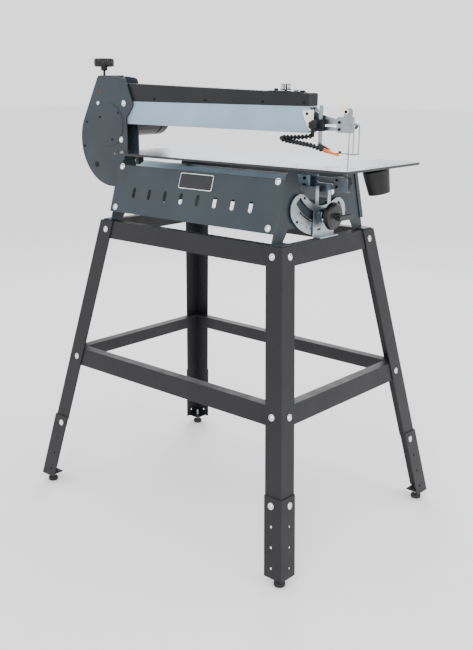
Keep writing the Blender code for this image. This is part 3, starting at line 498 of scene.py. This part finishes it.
# ------------------------------------------------------------ stand
def stand_half(z):
    """Half widths of the splayed stand at a height, from the top and bottom of a leg."""
    leg = NODES["leg_front_left"]
    points = [leg.matrix_world @ v.co for v in leg.data.vertices]
    top = [p for p in points if p.z > high("leg_front_left").z - 0.001]
    foot = [p for p in points if p.z < low("leg_front_left").z + 0.001]
    centre_y = stand_centre()
    ends = []
    for group in (foot, top):
        ends.append((group[0].z, max(-p.x for p in group), max(centre_y - p.y for p in group)))
    share = (z - ends[0][0]) / (ends[1][0] - ends[0][0])
    return tuple(a + (b - a) * share for a, b in zip(ends[0][1:], ends[1][1:]))


def stand_centre():
    return (low("leg_front_left").y + high("leg_rear_left").y) / 2


RAIL_BOLT_IN = 0.031
RAIL_BOLT_BELOW_TOP = 0.025
SHELF_BOLT_BELOW_TOP = 0.4105
EXTENSION_BOLT_ABOVE_FOOT = 0.202


def stand_bolts():
    """Domed bolts on both flanges of each leg, at the rails and the extensions."""
    top = high("leg_front_left").z
    centre_y = stand_centre()
    levels = [("rail", top - RAIL_BOLT_BELOW_TOP, 0.0), ("shelf", top - SHELF_BOLT_BELOW_TOP, 0.0),
              ("extension", EXTENSION_BOLT_ABOVE_FOOT, 0.0023)]
    for label, sx, sy in CORNERS:
        bm = bmesh.new()
        for _, z, outset in levels:
            half_x, half_y = stand_half(z)
            wide, deep = stand_half(z + 0.1)
            lean_x = (half_x - wide) / 0.1
            lean_y = (half_y - deep) / 0.1
            out = outset + 0.0003
            side = Vector((sx * (half_x + out), centre_y + sy * (half_y - RAIL_BOLT_IN), z))
            end = Vector((sx * (half_x - RAIL_BOLT_IN), centre_y + sy * (half_y + out), z))
            button_bolt(bm, side, (sx, 0, lean_x), 0.0065)
            button_bolt(bm, end, (0, sy, lean_y), 0.0065)
        piece("leg_bolts_" + label, bm, "bright", "stand")


def foot_hardware():
    """Jam nut on each levelling stud."""
    for label, _, _ in CORNERS:
        node = "levelling_foot_" + label
        centre = middle(node)
        bm = bmesh.new()
        m = frame_at((centre.x, centre.y, low(node).z + 0.0146), UP)
        profile = [(0.0085, 0, "hex"), (0.0090, 0.0008, "hex"), (0.0090, 0.0060, "hex")]
        profile += [(0.0084, 0.0068, "hex"), (0.0062, 0.0069), (0, 0.0070)]
        turned(bm, profile, m, 24)
        piece("foot_nut_" + label, bm, "zinc", node)


# ------------------------------------------------------------ covers and table
def cover_plane(side):
    """A point, outward normal and upward direction of a side cover's inclined outer face."""
    name = "side_cover_left" if side < 0 else "side_cover_right"
    thing = NODES[name]
    best = None
    for polygon in thing.data.polygons:
        normal = (thing.matrix_world.to_3x3() @ polygon.normal).normalized()
        if normal.x * side > 0.8 and normal.z > 0.05 and (best is None or polygon.area > best[0]):
            best = (polygon.area, thing.matrix_world @ polygon.center, normal)
    _, point, normal = best
    forward = Vector((0, 1, 0))
    upward = normal.cross(forward) * (1 if normal.cross(forward).z > 0 else -1)
    return point, normal, upward


def on_cover(side, y, z):
    point, normal, upward = cover_plane(side)
    place = point + upward * ((z - point.z) / upward.z)
    return Vector((place.x, y, place.z)), normal, upward


COVER_BOLT_HIGH = 0.980
COVER_BOLT_LOW = 0.868


def cover_details():
    for side, label in ((-1, "left"), (1, "right")):
        node = "side_cover_" + label
        bm = bmesh.new()
        for z, inset in ((COVER_BOLT_HIGH, 0.014), (COVER_BOLT_LOW, 0.016)):
            for y in (low(node).y + inset + 0.004, high(node).y - inset - 0.004):
                place, normal, _ = on_cover(side, y, z)
                button_bolt(bm, place + normal * 0.0002, normal, 0.0066)
        piece("cover_bolts_" + label, bm, "bright", "stand")
    place, normal, upward = on_cover(-1, -0.075, 0.959)
    across = upward.cross(normal)
    flat = Matrix((across, upward, normal)).transposed().to_4x4()
    bm = bmesh.new()
    slab(bm, rounded(0.120, 0.042, 0.005), Matrix.Translation(place + normal * 0.0002) @ flat, 0.0007)
    piece("name_plate_rim", bm, "plate_rim", "stand")
    bm = bmesh.new()
    slab(bm, rounded(0.1165, 0.0385, 0.0038), Matrix.Translation(place + normal * 0.0010) @ flat, 0.0004)
    piece("name_plate_face", bm, "plate_face", "stand")


def table_details():
    """Countersunk fixing screws, the blade insert ring and a short scale near the blade."""
    top = high("table").z
    left = low("table").x
    front = low("table").y
    rear = high("table").y
    blade = middle("blade")
    bm = bmesh.new()
    for x, y in ((left * 0.62, -0.360), (-left * 0.62, -0.360), (left * 0.62, 0.205), (-left * 0.62, 0.205)):
        m = frame_at((x, y, top - 0.0001), UP)
        profile = [(0.0052, 0), (0.0052, 0.0003), (0.0026, 0.0003, "hex"), (0.0026, 0.0001, "hex"), (0, 0.0001)]
        turned(bm, profile, m, 24)
    piece("table_screws", bm, "socket_black", "stand")
    bm = bmesh.new()
    m = frame_at((blade.x, blade.y, top - 0.0012), UP)
    profile = [(0.0079, 0.0), (0.0079, 0.0010), (0.0074, 0.0011), (0.0045, 0.0009), (0.0045, 0.0)]
    rings = [[bm.verts.new(m @ Vector((r * math.cos(math.tau * i / 32), r * math.sin(math.tau * i / 32), h)))
              for i in range(32)] for r, h in profile]
    for a, b in zip(rings, rings[1:] + rings[:1]):
        for i in range(32):
            j = (i + 1) % 32
            bm.faces.new((a[i], a[j], b[j], b[i]))
    piece("table_insert_ring", bm, "zinc", "stand")
    bm = bmesh.new()
    for i in range(-6, 7):
        length = 0.007 if i % 2 else 0.012
        y = front + 0.0110
        slab(bm, [(i * 0.010 - 0.0003, y), (i * 0.010 + 0.0003, y), (i * 0.010 + 0.0003, y + length),
                  (i * 0.010 - 0.0003, y + length)], Matrix.Translation((0, 0, top)), 0.00012)
    piece("table_scale", bm, "ink", "stand")
    bm = bmesh.new()
    under = low("table").z
    outline = [(0, 0), (0.022, 0), (0.022, -0.014), (0.006, -0.022), (0, -0.022)]
    m = Matrix.Translation((left + 0.012, rear - 0.105, under - 0.0005))
    m = m @ Matrix.Rotation(math.radians(90), 4, "X")
    slab(bm, outline, m, 0.012)
    piece("table_support", bm, "plastic", "stand", bevel=0.0012)


# ------------------------------------------------------------ tower
def tower_details():
    face = low("tower_plate_left").x
    plain = face + 0.0025
    heading = (-1, 0, 0)
    bm = bmesh.new()
    for y, z in ((0.358, 1.149), (0.374, 1.042)):
        button_bolt(bm, (plain - 0.0001, y, z), heading, 0.0068)
    socket_screw(bm, (plain - 0.0001, 0.472, 1.148), heading, 0.0062, 0.0050)
    piece("tower_bolts_left", bm, "bright", "head")
    bm = bmesh.new()
    for y, z in ((0.382, 1.121), (0.467, 1.106), (0.413, 1.040)):
        socket_screw(bm, (face - 0.0001, y, z), heading, 0.0032, 0.0020)
    for y, z in ((0.533, 1.089), (0.548, 1.015)):
        socket_screw(bm, (plain - 0.0001, y, z), heading, 0.0032, 0.0022)
    piece("tower_small_screws", bm, "socket_black", "head")
    bm = bmesh.new()
    m = frame_at((plain - 0.0001, 0.491, 0.960), heading)
    profile = [(0.0085, 0), (0.0085, 0.0016), (0.0070, 0.0026), (0.0045, 0.0024), (0.0040, 0.0008), (0, 0.0006)]
    turned(bm, profile, m, 28)
    piece("tower_grommet", bm, "rubber", "head")
    bm = bmesh.new()
    place = Matrix.Translation((plain - 0.0001, 0.465, 1.183)) @ Matrix.Rotation(math.radians(-90), 4, "Y")
    slab(bm, rounded(0.011, 0.011, 0.0015), place, 0.0004)
    piece("tower_tag", bm, "rust", "head")
    far = high("tower_plate_right").x
    bm = bmesh.new()
    for y, z in ((0.358, 1.149), (0.374, 1.042), (0.472, 1.148), (0.533, 1.000), (0.400, 0.925)):
        button_bolt(bm, (far + 0.0001, y, z), (1, 0, 0), 0.0068)
    piece("tower_bolts_right", bm, "bright", "head")


def motor_details():
    """Raised rings and screws on the motor's end cap."""
    centre = middle("motor_housing")
    end = high("motor_housing").x
    bm = bmesh.new()
    for ring in range(5):
        radius = 0.018 + ring * 0.008
        count = 24
        rim = []
        for shift, h in ((-0.0014, 0.0), (-0.0010, 0.0012), (0.0010, 0.0012), (0.0014, 0.0)):
            r = radius + shift
            rim.append([bm.verts.new((end - 0.0013 + h, centre.y + r * math.cos(math.tau * i / count),
                                      centre.z + r * math.sin(math.tau * i / count))) for i in range(count)])
        for a, b in zip(rim, rim[1:] + rim[:1]):
            for i in range(count):
                j = (i + 1) % count
                bm.faces.new((a[i], a[j], b[j], b[i]))
    piece("motor_vent_rings", bm, "motor", "head")
    bm = bmesh.new()
    for i in range(4):
        angle = math.radians(45 + 90 * i)
        y = centre.y + 0.0560 * math.cos(angle)
        z = centre.z + 0.0560 * math.sin(angle)
        socket_screw(bm, (end - 0.0120, y, z), (1, 0, 0), 0.0035, 0.0030)
    piece("motor_screws", bm, "zinc", "head")


# ------------------------------------------------------------ upper arm
def arm_details():
    """Cover screws, the cream hose plate, and the bright switch and plug on the control plate."""
    body = "head"
    half = high("arm_top_cover").x
    seat = low("arm_top_cover").z + 0.0085
    bm = bmesh.new()
    for side in SIDES:
        for y in (0.233, 0.030, -0.176, -0.312):
            socket_screw(bm, (side * (half + 0.0001), y, seat), (side, 0, 0), 0.0032, 0.0020)
    piece("arm_cover_screws", bm, "socket_black", body)

    plate_top = 1.1925
    bm = bmesh.new()
    m = frame_at((0.0, -0.273, plate_top - 0.0015), UP)
    profile = [(0.0060, 0, "hex"), (0.0065, 0.0008, "hex"), (0.0065, 0.0050, "hex"), (0.0040, 0.0058)]
    profile += [(0.0038, 0.0100), (0.0032, 0.0106), (0, 0.0107)]
    turned(bm, profile, m, 24)
    piece("brake_switch", bm, "bright", body)
    bm = bmesh.new()
    m = frame_at((0.0, -0.2915, plate_top - 0.0025), UP)
    turned(bm, [(0.0068, 0), (0.0070, 0.0010), (0.0068, 0.0026), (0.0060, 0.0032), (0, 0.0034)], m, 28)
    piece("control_plug", bm, "plastic", body)

    side = low("upper_arm").x
    bm = bmesh.new()
    corner = [(-0.3440, 1.1440), (-0.3420, 1.1465), (-0.3120, 1.1465), (-0.3085, 1.1440), (-0.3080, 1.1400),
              (-0.3300, 1.0965), (-0.3340, 1.0945), (-0.3390, 1.0955), (-0.3430, 1.1000)]
    place = Matrix((Vector((0, 1, 0)), Vector((0, 0, 1)), Vector((1, 0, 0)))).transposed().to_4x4()
    slab(bm, corner, Matrix.Translation((side - 0.0027, 0, 0)) @ place, 0.0022)
    piece("hose_plate", bm, "cream", body, bevel=0.0005)
    bm = bmesh.new()
    for y, z in ((-0.3240, 1.1370), (-0.3370, 1.1040)):
        socket_screw(bm, (side - 0.0028, y, z), (-1, 0, 0), 0.0034, 0.0026)
    piece("hose_plate_screws", bm, "socket_black", body)


def control_shapes():
    """Fluted speed dial and the large fluted blade tension knob."""
    bm = bmesh.new()
    centre = middle("speed_dial")
    bottom = low("speed_dial").z
    rise = high("speed_dial").z - bottom
    m = frame_at((centre.x, centre.y, bottom), UP)
    turned(bm, [(0.0030, 0), (0.0030, rise - 0.0160), (0.0142, rise - 0.0158), (0.0148, rise - 0.0150),
                (0.0146, rise - 0.0135), (0.0122, rise - 0.0125), (0.0118, rise - 0.0010), (0.0110, rise),
                (0, rise)], m, 48)
    piece("speed_dial_body", bm, "gloss_black", "speed_dial", ["speed_dial"])
    bm = bmesh.new()
    for i in range(12):
        rib = Matrix.Rotation(math.tau * i / 12, 4, "Z") @ Matrix.Translation((0.0124, 0, rise - 0.0130))
        slab(bm, rounded(0.0018, 0.0030, 0.0008, 3), m @ rib, 0.0118)
    piece("speed_dial_ribs", bm, "bright", "speed_dial")
    bm = bmesh.new()
    mark = Matrix.Translation((centre.x, centre.y - 0.0058, high("speed_dial").z - 0.0004))
    slab(bm, rounded(0.0014, 0.0075, 0.0006, 3), mark, 0.0004)
    piece("speed_dial_mark", bm, "ink", "speed_dial")

    bm = bmesh.new()
    centre = middle("blade_tension_knob")
    bottom, top = low("blade_tension_knob").z, high("blade_tension_knob").z
    m = frame_at((centre.x, centre.y, bottom), UP)
    rise = top - bottom
    wide = (high("blade_tension_knob").x - low("blade_tension_knob").x) / 2 - 0.0001
    turned(bm, [(0.0040, 0), (0.0040, rise - 0.0365), (0.0095, rise - 0.0355), (0.0105, rise - 0.0340),
                (0.0105, rise - 0.0255), (wide * 0.87, rise - 0.0250), (wide * 0.97, rise - 0.0225, "flutes"),
                (wide, rise - 0.0190, "flutes"), (wide, rise - 0.0055, "flutes"),
                (wide * 0.96, rise - 0.0022, "flutes"), (wide * 0.88, rise - 0.0004), (wide * 0.55, rise),
                (wide * 0.50, rise - 0.0010), (0, rise - 0.0012)], m, 96)
    piece("tension_knob_grip", bm, "gloss_black", "blade_tension_knob", ["blade_tension_knob"])


# ------------------------------------------------------------ nose
def nose_details():
    for label in ("upper", "lower"):
        node = label + "_thumbscrew"
        near, far = low(node).x, high(node).x
        centre = middle(node)
        radius = (high(node).z - low(node).z) / 2 - 0.0001
        m = frame_at((near, centre.y, centre.z), (1, 0, 0))
        reach_x = far - near
        bm = bmesh.new()
        turned(bm, [(0.0025, 0), (0.0025, 0.0030), (radius * 0.86, 0.0034), (radius, 0.0046, "knurl"),
                    (radius, reach_x - 0.0014, "knurl"), (radius * 0.88, reach_x - 0.0004),
                    (0, reach_x - 0.0004)], m, 56)
        piece(label + "_thumbscrew_grip", bm, "gloss_black", node, [node])
        bm = bmesh.new()
        m = frame_at((far - 0.0006, centre.y, centre.z), (1, 0, 0))
        turned(bm, [(radius * 0.55, 0), (radius * 0.52, 0.0006), (0, 0.0006)], m, 24)
        piece(label + "_thumbscrew_core", bm, "bright", node)

    side = low("upper_head_block").x
    bm = bmesh.new()
    for y, z in ((-0.415, 1.118), (-0.415, 1.101)):
        socket_screw(bm, (side - 0.0001, y, z), (-1, 0, 0), 0.0036, 0.0028)
    piece("upper_head_screws", bm, "socket_black", "upper_head")
    side = low("lower_head_block").x
    bm = bmesh.new()
    for y, z in ((-0.415, 0.959), (-0.415, 0.976)):
        socket_screw(bm, (side - 0.0001, y, z), (-1, 0, 0), 0.0036, 0.0028)
    piece("lower_head_screws", bm, "socket_black", "lower_head_block")
    hub = low("blade_release_lever").x
    bm = bmesh.new()
    socket_screw(bm, (hub - 0.0001, -0.435, 1.144), (-1, 0, 0), 0.0036, 0.0026)
    piece("release_screw", bm, "socket_black", "blade_release_lever")

    bm = bmesh.new()
    for z in (1.101, 1.118):
        socket_screw(bm, (0.0178, -0.324, z), (1, 0, 0), 0.0038, 0.0026)
    piece("upper_arm_pins", bm, "socket_black", "head")

    node = "foot_lock_knob"
    near, far = high(node).x, low(node).x
    centre = middle(node)
    radius = (high(node).z - low(node).z) / 2 - 0.0001
    m = frame_at((near, centre.y, centre.z), (-1, 0, 0))
    reach_x = near - far
    bm = bmesh.new()
    turned(bm, [(0.0030, 0), (0.0030, 0.0070), (radius * 0.70, 0.0080), (radius * 0.92, 0.0095, "lobes"),
                (radius, 0.0115, "lobes"), (radius, reach_x - 0.0030, "lobes"),
                (radius * 0.90, reach_x - 0.0008, "lobes"), (radius * 0.60, reach_x), (0, reach_x)], m, 72)
    piece("foot_lock_grip", bm, "gloss_black", node, [node])

    foot_top = 1.0440
    bm = bmesh.new()
    socket_screw(bm, (-0.0040, -0.4170, foot_top + 0.0001), UP, 0.0040, 0.0040)
    piece("foot_screw", bm, "socket_black", "drop_foot")


# ------------------------------------------------------------ air hose
HOSE_FROM_NOZZLE = [(-0.0005, 0.0370, 0.0330), (-0.0065, 0.0550, 0.0300), (-0.0125, 0.0820, 0.0280),
                    (-0.0175, 0.1100, 0.0270), (-0.0155, 0.1240, 0.0250), (-0.0105, 0.1180, 0.0200),
                    (-0.0075, 0.0900, 0.0165), (-0.0060, 0.0600, 0.0130), (-0.0045, 0.0320, 0.0090), (0, 0, 0)]
BEAD_PITCH = 0.0105


def smooth_path(points, share):
    path = [Vector(p) for p in points]
    padded = [path[0] * 2 - path[1]] + path + [path[-1] * 2 - path[-2]]
    out = []
    for a, b, c, d in zip(padded, padded[1:], padded[2:], padded[3:]):
        for i in range(share):
            t = i / share
            out.append(0.5 * ((2 * b) + (c - a) * t + (2 * a - 5 * b + 4 * c - d) * t ** 2
                              + (3 * b - a - 3 * c + d) * t ** 3))
    return out + [path[-1]]


def hose_and_nozzle():
    """Ball-and-socket hose segments along the modelled path, and the tapered orange nozzle."""
    joint = [j for j in frame["joints"] if j["name"] == "nozzle_swivel"][0]
    start = Vector(joint["pos_m"])
    aim = Vector(joint["axis"]).normalized()
    path = smooth_path([start + Vector(p) for p in HOSE_FROM_NOZZLE], 12)
    lengths = [0.0]
    for a, b in zip(path, path[1:]):
        lengths.append(lengths[-1] + (b - a).length)
    count = int(lengths[-1] / BEAD_PITCH)
    pitch = lengths[-1] / count
    bm = bmesh.new()
    for i in range(count):
        places = []
        for target in (pitch * i + 0.0002, pitch * (i + 1) - 0.0002):
            k = max(j for j in range(len(lengths)) if lengths[j] <= target)
            k = min(k, len(path) - 2)
            share = (target - lengths[k]) / (lengths[k + 1] - lengths[k])
            places.append(path[k].lerp(path[k + 1], share))
        heading = places[1] - places[0]
        size = heading.length
        m = frame_at(places[0], heading)
        turned(bm, [(0.0030, 0), (0.0050, size * 0.05), (0.0066, size * 0.18), (0.0069, size * 0.40),
                    (0.0058, size * 0.60), (0.0040, size * 0.74), (0.0032, size * 0.82), (0.0030, size)], m, 20)
    piece("air_hose_beads", bm, "gloss_black", "head", ["air_hose"])
    bm = bmesh.new()
    section = [(0.0025, 0.0044), (-0.0025, 0.0044), (-0.0025, -0.0044), (0.0025, -0.0044)]
    slab(bm, section, Matrix.Translation((-0.0215, -0.3435, 1.0800)), 0.0200)
    piece("air_hose_fitting", bm, "plastic", "head", bevel=0.0008)
    bm = bmesh.new()
    m = frame_at(start + aim * 0.0012, aim)
    turned(bm, [(0.0040, 0), (0.0048, 0.0006), (0.0051, 0.0030), (0.0050, 0.0062), (0.0044, 0.0068),
                (0.0043, 0.0110), (0.0030, 0.0290), (0.0025, 0.0422),
                (0.0014, 0.0424), (0.0013, 0.0350), (0, 0.0348)], m, 32)
    piece("air_nozzle_tip", bm, "orange", "air_nozzle", ["air_nozzle"])


# ------------------------------------------------------------ tilt controls and quadrant
def tilt_details():
    front = low("pinion_bracket").y
    bm = bmesh.new()
    for x in (-0.034, 0.034):
        socket_screw(bm, (x, front - 0.0001, low("pinion_bracket").z + 0.050), (0, -1, 0), 0.0040, 0.0030)
    piece("pinion_bracket_screws", bm, "bright", "stand")
    bm = bmesh.new()
    m = frame_at((0.0280, front - 0.0001, high("pinion_bracket").z - 0.012), (0, -1, 0))
    turned(bm, [(0.0025, 0), (0.0025, 0.0006), (0, 0.0007)], m, 20)
    piece("angle_pointer_dot", bm, "red", "stand")


def around(radius, degrees):
    """Point on the quadrant at an angle from straight down, to the right of the pivot."""
    turn = math.radians(degrees)
    pivot = high("table").z
    return radius * math.sin(turn), pivot - radius * math.cos(turn)


def quadrant_details():
    """Low-headed screws, dark dowels and the black strip of the tilt quadrant."""
    front = low("tilt_quadrant").y
    bm = bmesh.new()
    for radius, degrees in ((0.1165, -44), (0.1790, -38), (0.1790, 22)):
        x, z = around(radius, degrees)
        socket_screw(bm, (x, front - 0.0001, z), (0, -1, 0), 0.0036, 0.0013)
    piece("quadrant_screws", bm, "socket_black", "head")
    bm = bmesh.new()
    for degrees in (-32, -23, -18, -12):
        x, z = around(0.172, degrees)
        m = frame_at((x, front - 0.0001, z), (0, -1, 0))
        turned(bm, [(0.0021, 0), (0.0020, 0.0003), (0, 0.0003)], m, 18)
    piece("quadrant_dowels", bm, "ink", "head")
    bm = bmesh.new()
    count = 28
    rim = [around(radius, -40 + 62 * i / count) for radius in (0.1520, 0.1556) for i in range(count + 1)]
    outline = rim[:count + 1] + rim[count + 1:][::-1]
    place = Matrix.Translation((0, front - 0.0001, 0)) @ Matrix.Rotation(math.radians(90), 4, "X")
    slab(bm, outline, place, 0.0014)
    piece("quadrant_strip", bm, "plastic", "head")


def linkage_screws():
    """Black pivot screws where the lower linkage meets the lower arm."""
    bm = bmesh.new()
    side = low("lower_arm").x
    for z in (0.959, 0.976):
        socket_screw(bm, (side - 0.0001, -0.324, z), (-1, 0, 0), 0.0042, 0.0030)
    piece("lower_arm_pins", bm, "socket_black", "head")


make_materials()
dress_nodes()
quadrant_details()
linkage_screws()
stand_bolts()
foot_hardware()
cover_details()
table_details()
tower_details()
motor_details()
arm_details()
control_shapes()
nose_details()
hose_and_nozzle()
tilt_details()
make_studio()
make_camera()
